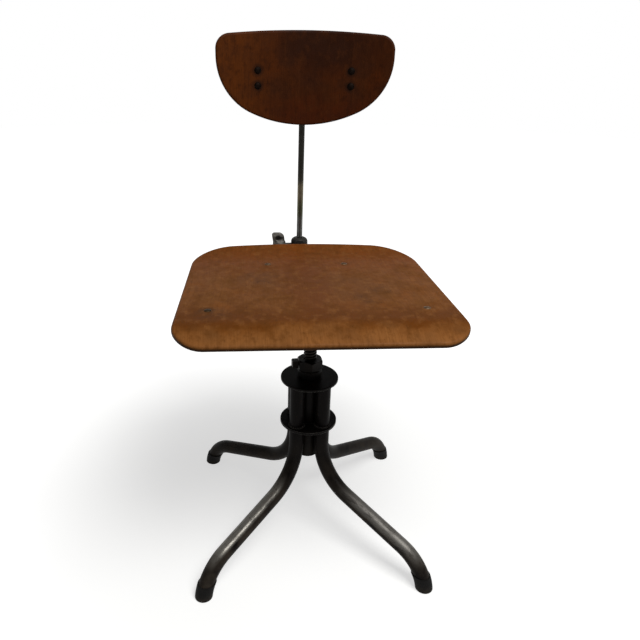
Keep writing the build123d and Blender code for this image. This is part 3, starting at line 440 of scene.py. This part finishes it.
def black_enamel(name, gloss):
    """Black enamel stoved on to steel: near black with a brown cast, a dull gloss over a faint orange peel,
    dulled in clouds, freckled with rust, and rubbed to grey steel on edges, on the rod boss and along the
    front legs where shoes rest. The light grey strip on top of the left front leg is also a painted
    highlight. The orange peel is drawn about twice as coarse as it is, so that it shows from a step away."""
    material, put, place = new_finish(name, Specular_IOR_Level=0.04)
    height = put("ShaderNodeSeparateXYZ", {0: place}).outputs["Z"]
    low_down = {"Value": height, "From Min": DUST_TOP, "From Max": DUST_FULL}
    low_down = put("ShaderNodeMapRange", low_down).outputs[0]
    clouds = patches(put, place, (34, 34, 34), 0.35, 0.65, strength=0.9, detail=4.0)
    dust = put("ShaderNodeMath", {0: low_down, 1: clouds}, operation="MULTIPLY").outputs[0]
    rust = patches(put, place, (5, 5, 5), 0.66, 0.72, strength=0.8)
    run = leg_run(put, place)
    scuff = patches(put, run, (90, 6, 8), 0.26, 0.5, detail=6.0)
    scratch = patches(put, run, (26, 1.6, 2.2), 0.6, 0.68, strength=0.6)
    up = put("ShaderNodeSeparateXYZ", {0: put("ShaderNodeNewGeometry").outputs["Normal"]}).outputs["Z"]
    rounded, edges = soft_edges(put, radius=1.0 * MM, strength=0.55)
    worn = {"scuffed": 0.0, "polished": edges}
    for kind, places in RUBBED.items():
        for centre, size, strength, start, full in places:
            upper = put("ShaderNodeMapRange", {"Value": up, "From Min": start, "From Max": full}).outputs[0]
            upper = put("ShaderNodeMath", {0: upper, 1: scuff}, operation="MULTIPLY").outputs[0]
            rest = {0: upper, 1: near(put, place, centre, size, strength)}
            rest = put("ShaderNodeMath", rest, operation="MULTIPLY").outputs[0]
            worn[kind] = put("ShaderNodeMath", {0: worn[kind], 1: rest}, operation="MAXIMUM").outputs[0]
    scuffed, bared_and_highlight = worn["scuffed"], worn["polished"]
    layers = [
        (dust, "#3a342d"),
        (scuffed, "#76736e"),
        # lighter steel on edges and on top of the left front leg, where it is also a painted highlight
        (bared_and_highlight, "#88857e"),
        (scratch, "#2f2b28"),
        (rust, "#332015"),
    ]
    tone = layered(put, linear("#120f0e"), layers)
    dull = put("ShaderNodeMapRange", {"Value": dust, "To Min": gloss, "To Max": gloss + 0.2}).outputs[0]
    dull = put("ShaderNodeMix", {0: scuffed, 2: dull, 3: 0.5}).outputs[0]
    dull = put("ShaderNodeMix", {0: bared_and_highlight, 2: dull, 3: gloss - 0.12}).outputs[0]
    steel = put("ShaderNodeMath", {0: scuffed, 1: bared_and_highlight}, operation="MAXIMUM").outputs[0]
    steel = put("ShaderNodeMath", {0: steel, 1: RUBBED_THROUGH}, operation="MULTIPLY").outputs[0]
    peel = {"Vector": place, "Scale": 1 / ORANGE_PEEL, "Detail": 2.0}
    peel = put("ShaderNodeTexNoise", peel).outputs["Fac"]
    relief = {"Height": peel, "Strength": 0.12, "Distance": 0.3 * MM, "Normal": rounded}
    bump = put("ShaderNodeBump", relief).outputs[0]
    return finish_with(material, {"Base Color": tone, "Roughness": dull, "Metallic": steel, "Normal": bump})


# Floor dust lies on the caps below this height, and in full below this one
CAP_DUST_TOP = 14 * MM
CAP_DUST_FULL = 1 * MM
RUBBER_GRAIN = 0.9 * MM


def moulded_rubber():
    """Moulded black rubber, matte, with floor dust low down and in its fine pebbled grain."""
    material, put, place = new_finish("moulded_foot_rubber", Specular_IOR_Level=0.15)
    height = put("ShaderNodeSeparateXYZ", {0: place}).outputs["Z"]
    low_down = {"Value": height, "From Min": CAP_DUST_TOP, "From Max": CAP_DUST_FULL}
    low_down = put("ShaderNodeMapRange", low_down).outputs[0]
    specks = patches(put, place, (7, 7, 4), 0.35, 0.65, strength=0.7, detail=4.0)
    dust = put("ShaderNodeMath", {0: low_down, 1: specks}, operation="MULTIPLY").outputs[0]
    bloom = patches(put, place, (6, 6, 6), 0.45, 0.7, strength=0.7)
    tone = layered(put, linear("#11100f"), [(bloom, "#1b1917"), (dust, "#3d362d")])
    pebbles = {"Vector": place, "Scale": 1 / RUBBER_GRAIN, "Detail": 1.0}
    grain = put("ShaderNodeTexNoise", pebbles).outputs["Fac"]
    dull = put("ShaderNodeMapRange", {"Value": grain, "To Min": 0.62, "To Max": 0.88}).outputs[0]
    bump = put("ShaderNodeBump", {"Height": grain, "Strength": 0.25, "Distance": 0.2 * MM}).outputs[0]
    return finish_with(material, {"Base Color": tone, "Roughness": dull, "Normal": bump})


# Leeway in telling the strap from the lugs behind it
STRAP_LEEWAY = 0.05 * MM


def strap_run(put, place):
    """Place with x and z changed over on the strap, so that lines drawn along z run along it."""
    split = put("ShaderNodeSeparateXYZ", {0: place}).outputs
    before_lugs = {0: split["Y"], 1: lugs_low.y + STRAP_LEEWAY}
    strap = put("ShaderNodeMath", before_lugs, operation="LESS_THAN").outputs[0]
    changed = {"X": split["Z"], "Y": split["Y"], "Z": split["X"]}
    changed = put("ShaderNodeCombineXYZ", changed).outputs[0]
    return put("ShaderNodeMix", {0: strap, 4: place, 5: changed}, data_type="VECTOR").outputs[1]


def bare_metal(name, tones, spots, lines, roughness, grime, edge, run_of=None, worn=()):
    """A bare metal: its colour, a second one in the marks that its making leaves, dirt in patches of that
    size in mm, and edges rubbed bright. lines gives the size in mm of the marks along each axis, run_of
    turns them along the piece, and worn gives places with a tone of their own, which on the wing screw are
    painted highlights and painted shade."""
    material, put, place = new_finish(name, Specular_IOR_Level=0.15)
    run = run_of(put, place) if run_of else place
    marks = patches(put, run, lines, 0.4, 0.66)
    dirt = patches(put, place, spots, 0.5, 0.68, strength=grime, detail=5.0)
    rounded, edges = soft_edges(put, radius=0.7 * MM, strength=edge)
    layers = [(marks, tones["marks"]), (dirt, tones["dirt"]), (edges, tones["edge"])]
    layers += [(near(put, place, *where), colour) for *where, colour in worn]
    tone = layered(put, linear(tones["body"]), layers)
    metal = put("ShaderNodeMapRange", {"Value": dirt, "To Min": 1.0, "To Max": 0.35}).outputs[0]
    dull = {"Value": marks, "To Min": roughness - 0.06, "To Max": roughness + 0.1}
    dull = put("ShaderNodeMapRange", dull).outputs[0]
    dull = put("ShaderNodeMath", {0: dirt, 1: 0.25, 2: dull}, operation="MULTIPLY_ADD").outputs[0]
    relief = {"Height": marks, "Strength": 0.2, "Distance": 0.12 * MM, "Normal": rounded}
    bump = put("ShaderNodeBump", relief).outputs[0]
    return finish_with(material, {"Base Color": tone, "Roughness": dull, "Metallic": metal, "Normal": bump})


# Places with a tone of their own: centre, size in mm, strength and colour. The rod's tone changes along its
# height: dark high up, olive and grey lower down, and darker where it meets its boss. One seat bolt is black
# with grime, and the nuts under the seat are still grey. The ears of the wing screw have painted highlights
# at tip and foot, and painted shade in their hollows.
ROD_TONES = (
    ((0, rod_behind, boss_top + 168 * MM), (40, 40, 78), 0.95, "#2c2b27"),
    ((0, rod_behind, boss_top + 82 * MM), (40, 40, 30), 0.8, "#716855"),
    ((0, rod_behind, boss_top + 52 * MM), (40, 40, 28), 0.8, "#525440"),
    ((0, rod_behind, boss_top + 20 * MM), (40, 40, 32), 0.8, "#656563"),
    ((0, rod_behind, boss_top), (40, 40, 16), 0.8, "#3f3d3a"),
)
BOLT_WEAR = (
    ((-FRONT_BOLT[0], FRONT_BOLT[1], seat_top), (12, 12, 12), 0.85, "#3a2d1f"),
    ((0, 0, seat_top - 26 * MM), (900, 900, 24), 0.9, "#57534d"),
)
EAR_LIGHT_AND_SHADE = (
    ((ear_x, rod_behind, screw_height + DISH_OUT + 7 * MM), (22, 9, 8), 0.8, "#86827c"),
    ((ear_x, rod_behind, screw_height - DISH_OUT - 7 * MM), (22, 9, 8), 0.8, "#86827c"),
    ((ear_x + 5 * MM, rod_behind, screw_height + DISH_OUT - 8 * MM), (10, 9, 8), 0.8, "#8c8781"),
    ((ear_x + 5 * MM, rod_behind, screw_height - DISH_OUT + 8 * MM), (10, 9, 8), 0.8, "#8c8781"),
    ((ear_x + 2 * MM, rod_behind, screw_height + DISH_OUT), (11, 6, 7), 0.95, "#14110f"),
    ((ear_x + 2 * MM, rod_behind, screw_height - DISH_OUT), (11, 6, 7), 0.95, "#14110f"),
)


def make_finishes():
    """The finish of each material slot of the record."""
    return {
        "leg_paint": black_enamel("stoved_enamel_on_tube", gloss=0.36),
        "frame_paint": black_enamel("stoved_enamel_on_plate", gloss=0.42),
        "foot_rubber": moulded_rubber(),
        "seat_wood": moulded_ply(
            "varnished_seat_ply", SEAT_TONES, SEAT_GRAIN, seat_depth, SEAT_THICKNESS, seat_marks
        ),
        "backrest_wood": moulded_ply(
            "dark_varnished_and_shaded_back_ply",
            BACKREST_TONES,
            BACKREST_GRAIN,
            backrest_depth,
            BACKREST_THICKNESS,
            backrest_marks,
        ),
        # Turned steel, black with old oil: fine rings, and a dull sheen on the corners
        "bush_steel": bare_metal(
            "oil_blackened_turned_steel",
            {"body": "#110f0e", "marks": "#181614", "dirt": "#0b0908", "edge": "#3a3733"},
            spots=(11, 11, 11),
            lines=(40, 40, 0.9),
            roughness=0.45,
            grime=0.8,
            edge=0.5,
        ),
        # Screw-cut steel, dark with oil and dust, a little lighter on the crests of the thread
        "spindle_steel": bare_metal(
            "oiled_screw_cut_steel",
            {"body": "#1c1917", "marks": "#24211e", "dirt": "#0e0c0b", "edge": "#3b3733"},
            spots=(8, 8, 8),
            lines=(3, 3, 0.8),
            roughness=0.36,
            grime=0.9,
            edge=0.6,
        ),
        # Dull rolled brass with brown tarnish
        "bearing_brass": bare_metal(
            "tarnished_rolled_brass",
            {"body": "#8b6c38", "marks": "#7a5c2e", "dirt": "#3a2a16", "edge": "#b0925a"},
            spots=(6, 6, 6),
            lines=(1.2, 12, 12),
            roughness=0.4,
            grime=0.7,
            edge=0.4,
        ),
        # Zinc plate worn to a brownish grey, with grime in its dulled patches
        "bolt_steel": bare_metal(
            "worn_zinc_plate",
            {"body": "#86705a", "marks": "#745c46", "dirt": "#4f3925", "edge": "#967e68"},
            spots=(5, 5, 5),
            lines=(1.0, 1.0, 1.0),
            roughness=0.5,
            grime=0.85,
            edge=0.4,
            worn=BOLT_WEAR,
        ),
        # Oil-blackened bolts, browned and a little rubbed on their domes
        "back_bolt_steel": bare_metal(
            "blackened_bolt_steel",
            {"body": "#140e0b", "marks": "#1b1411", "dirt": "#0e0907", "edge": "#2a221e"},
            spots=(4, 4, 4),
            lines=(1.2, 1.2, 1.2),
            roughness=0.6,
            grime=0.8,
            edge=0.4,
        ),
        # Cold-drawn bar: long draw lines, an olive-grey patina and brown rust spots
        "rod_steel": bare_metal(
            "cold_drawn_patinated_steel",
            {"body": "#504e45", "marks": "#3f3d35", "dirt": "#35271a", "edge": "#6d695f"},
            spots=(7, 7, 13),
            lines=(1.1, 1.1, 120),
            roughness=0.4,
            grime=0.75,
            edge=0.4,
            run_of=strap_run,
            worn=ROD_TONES,
        ),
        # Cast iron with a sandy skin, its edges rubbed bright, with painted highlights on the ears and
        # painted shade in their hollows
        "wing_iron": bare_metal(
            "hand_rubbed_cast_iron",
            {"body": "#4f4b46", "marks": "#423e39", "dirt": "#221d18", "edge": "#a39d94"},
            spots=(5, 5, 5),
            lines=(1.3, 1.3, 1.3),
            roughness=0.42,
            grime=0.7,
            edge=0.8,
            worn=EAR_LIGHT_AND_SHADE,
        ),
    }


def dress_nodes(finishes):
    """Each CAD node gets the finish of its slot."""
    for part in frame["record"]["subparts"]:
        for held in frame["nodes"][part["node"]].material_slots:
            held.material = finishes[part["material_slot"]]


def new_piece(name, bm, body, slot, finishes):
    """A mesh piece in its place, riding on a body in the finish of a slot."""
    bmesh.ops.recalc_face_normals(bm, faces=bm.faces)
    mesh = bpy.data.meshes.new(name)
    bm.to_mesh(mesh)
    bm.free()
    mesh.materials.append(finishes[slot])
    piece = bpy.data.objects.new(name, mesh)
    bpy.context.scene.collection.objects.link(piece)
    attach(piece, body)
    return piece


# Points nearer than this are one point
SAME_POINT = 0.01 * MM
# The profile of one turn of the thread: distance from the axis, and height as a share of the pitch
TOOTH = ((THREAD_ROOT_R, 0), (THREAD_ROOT_R, 0.28), (SPINDLE_R, 0.48), (SPINDLE_R, 0.8))
THREAD_STEPS = 40
TURNED_STEPS = 48


def outline(bm, points):
    """A chain of edges through points given as distance from the column axis and height."""
    verts = [bm.verts.new((out, 0, height)) for out, height in points]
    return verts + [bm.edges.new(pair) for pair in zip(verts, verts[1:])]


def cut_through(bm, point, way, **cut):
    """Cuts the whole mesh by a plane through a point, square to the way."""
    everything = bm.verts[:] + bm.edges[:] + bm.faces[:]
    bmesh.ops.bisect_plane(bm, geom=everything, plane_co=point, plane_no=way, **cut)


def cut_thread():
    """The spindle with its thread: a coarse screw slotted for the key, under a flange, a journal and
    a stud."""
    bm = bmesh.new()
    flange_under = flange_top - FLANGE_THICKNESS
    start = spindle_low.z - 2 * THREAD_PITCH
    turns = ceil((flange_under - start) / THREAD_PITCH) + 2
    teeth = [(out, start + (turn + share) * THREAD_PITCH) for turn in range(turns) for out, share in TOOTH]
    rise = (0, 0, THREAD_PITCH / THREAD_STEPS)
    bmesh.ops.spin(
        bm, geom=outline(bm, teeth), axis=(0, 0, 1), dvec=rise, angle=2 * pi, steps=THREAD_STEPS
    )
    bmesh.ops.remove_doubles(bm, verts=bm.verts, dist=SAME_POINT)
    for height, way in ((spindle_low.z, -1), (flange_under, 1)):
        cut_through(bm, (0, 0, height), (0, 0, way), clear_outer=True)
    bmesh.ops.holes_fill(bm, edges=[edge for edge in bm.edges if edge.is_boundary])

    slot_floor = SPINDLE_R - KEY_DEPTH
    for side in (-1, 1):
        cut_through(bm, (0, side * KEY_WIDTH / 2, 0), (0, 1, 0))
    for vert in bm.verts:
        if vert.co.x < -slot_floor and abs(vert.co.y) < KEY_WIDTH / 2 - SAME_POINT:
            vert.co.x = -slot_floor

    journal_top = spindle_high.z - STUD_LENGTH
    turned = outline(
        bm,
        [
            (0, flange_under),
            (FLANGE_R, flange_under),
            (FLANGE_R, flange_top),
            (JOURNAL_R, flange_top),
            (JOURNAL_R, journal_top),
            (STUD_R, journal_top),
            (STUD_R, spindle_high.z),
            (0, spindle_high.z),
        ],
    )
    bmesh.ops.spin(bm, geom=turned, axis=(0, 0, 1), angle=2 * pi, steps=TURNED_STEPS, use_merge=True)
    bmesh.ops.remove_doubles(bm, verts=bm.verts, dist=SAME_POINT)
    return bm


# The radius of each weld bead, and how much a bead swells and narrows along its run
LEG_WELD = 1.8 * MM
HUB_WELD = 2.0 * MM
ARM_WELD = 1.8 * MM
ROD_WELD = 1.5 * MM
LUG_WELD = 1.6 * MM
RIPPLE = 0.16
BEAD_SIDES = 8
# How much of the arm's width its welds take up
ARM_WELD_SHARE = 0.7


def rippled(verts, core_of, ripples):
    """Swells and narrows a bead along its run, as a hand-laid weld does."""
    for vert in verts:
        core, share = core_of(vert.co)
        vert.co = core + (vert.co - core) * (1 + RIPPLE * cos(2 * pi * ripples * share))


def swept(bm, start, way, size, **run):
    """A round section of that size across the way at start, swept by one run of spin. Gives its vertices."""
    before = set(bm.verts)
    stood = Matrix.Translation(start) @ way.to_track_quat("Z", "Y").to_matrix().to_4x4()
    section = bmesh.ops.create_circle(bm, segments=BEAD_SIDES, radius=size, matrix=stood)["verts"]
    edges = list({edge for vert in section for edge in vert.link_edges})
    bmesh.ops.spin(bm, geom=section + edges, **run)
    return set(bm.verts) - before


def weld_ring(bm, centre, radius, size):
    """A weld round an upright tube."""
    ripples = ceil(2 * pi * radius / size)
    start = centre + Vector((radius, 0, 0))
    run = {"cent": centre, "axis": (0, 0, 1), "angle": 2 * pi, "steps": 2 * ripples, "use_merge": True}

    def core_of(point):
        turn = atan2(point.y - centre.y, point.x - centre.x)
        return centre + Vector((radius * cos(turn), radius * sin(turn), 0)), turn / (2 * pi)

    rippled(swept(bm, start, Vector((0, 1, 0)), size, **run), core_of, ripples)


def weld_line(bm, start, end, size):
    """A weld along a straight seam, closed at its ends."""
    ripples = ceil((end - start).length / size)
    steps = 2 * ripples
    run = {"cent": start, "axis": (0, 0, 1), "dvec": (end - start) / steps, "angle": 0, "steps": steps}

    def core_of(point):
        share = (point - start).dot(end - start) / (end - start).length_squared
        return start.lerp(end, share), share + 0.5 / ripples

    rippled(swept(bm, start, end - start, size, **run), core_of, ripples)
    bmesh.ops.holes_fill(bm, edges=[edge for edge in bm.edges if edge.is_boundary])


def add_pieces(finishes):
    """The screw-cut spindle and the welds."""
    spindle = new_piece("screw_spindle", cut_thread(), "spindle", "spindle_steel", finishes)
    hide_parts("spindle")

    legs = bmesh.new()
    for quarter in range(4):
        way = radians(45 + 90 * quarter)
        for height in (lower_plate_top, upper_plate_under):
            centre = Vector((LEG_REACH * cos(way), LEG_REACH * sin(way), height))
            weld_ring(legs, centre, LEG_TUBE_R, LEG_WELD)
    new_piece("leg_welds", legs, "base", "leg_paint", finishes)

    under_seat = bmesh.new()
    weld_ring(under_seat, Vector((0, 0, hub_high.z)), hub_high.x, HUB_WELD)
    for height in (arm_low.z, arm_high.z):
        ends = [Vector((side * arm_high.x * ARM_WELD_SHARE, arm_high.y, height)) for side in (-1, 1)]
        weld_line(under_seat, *ends, ARM_WELD)
    new_piece("frame_welds", under_seat, "seat", "frame_paint", finishes)

    rod = bmesh.new()
    weld_ring(rod, Vector((0, rod_behind, eye_low.z)), ROD_R, ROD_WELD)
    new_piece("rod_weld", rod, "back_post", "rod_steel", finishes)

    lugs = bmesh.new()
    for side in (lugs_low.x, lugs_high.x):
        ends = [Vector((side, lugs_low.y, height)) for height in (lugs_low.z, lugs_high.z)]
        weld_line(lugs, *ends, LUG_WELD)
    new_piece("lug_welds", lugs, "backrest", "rod_steel", finishes)


# A soft lamp above the chair, in front of it and to the right of the picture
LAMP_PLACE = Vector((0.5, -0.75, 1.9))
LAMP_AIM = Vector((0, 0, 0.4))
LAMP_SIZE = 0.9
LAMP_WATTS = 31.0
# What the world gives from all sides
AMBIENT = 0.14
# The backdrop in glossy faces, as parts of a way of length 1: full from this far back, full below the
# first height and gone above the second
BACKDROP_BACK = 0.5
BACKDROP_FULL = 0.12
BACKDROP_TOP = 0.45
# The floor: its radius, how much it lifts the shadow close to the chair, and the distances from the column
# between which it turns to white
FLOOR_R = 6.0
FLOOR_LIFT = 0.6
SHADOW_R = 0.25
WHITE_R = 1.0


def light_lamp():
    key = bpy.data.lights.new("overhead_soft_light", "AREA")
    key.shape = "SQUARE"
    key.size = LAMP_SIZE
    key.energy = LAMP_WATTS
    lamp = bpy.data.objects.new("overhead_soft_light", key)
    lamp.location = LAMP_PLACE
    lamp.rotation_euler = (LAMP_AIM - LAMP_PLACE).to_track_quat("-Z", "Y").to_euler()
    bpy.context.scene.collection.objects.link(lamp)


def seen_rays(put):
    """Masks of the rays from the camera, and of those off glossy faces or through clear ones."""
    path = put("ShaderNodeLightPath").outputs
    through = {0: path["Is Glossy Ray"], 1: path["Is Transmission Ray"]}
    bounced = put("ShaderNodeMath", through, operation="MAXIMUM").outputs[0]
    return path["Is Camera Ray"], bounced


def hang_backdrop():
    """The camera sees white all round. Glossy faces see it behind the chair, where the backdrop hangs."""
    world = bpy.data.worlds.new("white_backdrop")
    bpy.context.scene.world = world
    world.use_nodes = True
    put = partial(add_node, world.node_tree)
    camera_ray, bounced = seen_rays(put)
    way = put("ShaderNodeSeparateXYZ", {0: put("ShaderNodeTexCoord").outputs["Generated"]}).outputs
    behind = {"Value": way["Y"], "From Max": BACKDROP_BACK}
    behind = put("ShaderNodeMapRange", behind).outputs[0]
    hung = {"Value": way["Z"], "From Min": BACKDROP_TOP, "From Max": BACKDROP_FULL}
    hung = put("ShaderNodeMapRange", hung).outputs[0]
    backdrop = put("ShaderNodeMath", {0: behind, 1: hung}, operation="MULTIPLY").outputs[0]
    backdrop = put("ShaderNodeMath", {0: bounced, 1: backdrop}, operation="MULTIPLY").outputs[0]
    white = put("ShaderNodeMath", {0: camera_ray, 1: backdrop}, operation="MAXIMUM").outputs[0]
    level = put("ShaderNodeMapRange", {"Value": white, "To Min": AMBIENT, "To Max": 1.0}).outputs[0]
    sky = world.node_tree.nodes["Background"]
    sky.inputs["Color"].default_value = linear("#ffffff")
    world.node_tree.links.new(level, sky.inputs["Strength"])


def lay_floor():
    """The floor takes the shadow near the chair and fades to the white of the backdrop further out."""
    bm = bmesh.new()
    bmesh.ops.create_circle(bm, cap_ends=True, segments=96, radius=FLOOR_R)
    mesh = bpy.data.meshes.new("studio_floor")
    bm.to_mesh(mesh)
    bm.free()
    floor = bpy.data.objects.new("studio_floor", mesh)
    bpy.context.scene.collection.objects.link(floor)
    material, put, place = new_finish(
        "white_floor_sheet", Roughness=0.95, Specular_IOR_Level=0.1, Emission_Color=linear("#ffffff")
    )
    camera_ray, bounced = seen_rays(put)
    seen = put("ShaderNodeMath", {0: camera_ray, 1: bounced}, operation="MAXIMUM").outputs[0]
    reach = put("ShaderNodeVectorMath", {0: place}, operation="LENGTH").outputs["Value"]
    fade = {"Value": reach, "From Min": SHADOW_R, "From Max": WHITE_R, "To Min": FLOOR_LIFT, "To Max": 1.0}
    fade = put("ShaderNodeMapRange", fade, interpolation_type="SMOOTHSTEP").outputs[0]
    lift = put("ShaderNodeMath", {0: seen, 1: fade}, operation="MULTIPLY").outputs[0]
    fibre = patches(put, place, (4, 4, 4), 0.3, 0.7, strength=0.5)
    tone = layered(put, linear("#c4c4c2"), [(fibre, "#bebebb")])
    mesh.materials.append(finish_with(material, {"Base Color": tone, "Emission Strength": lift}))


place_camera()
slot_finishes = make_finishes()
dress_nodes(slot_finishes)
add_pieces(slot_finishes)
bpy.context.scene.view_settings.view_transform = "Standard"
light_lamp()
hang_backdrop()
lay_floor()
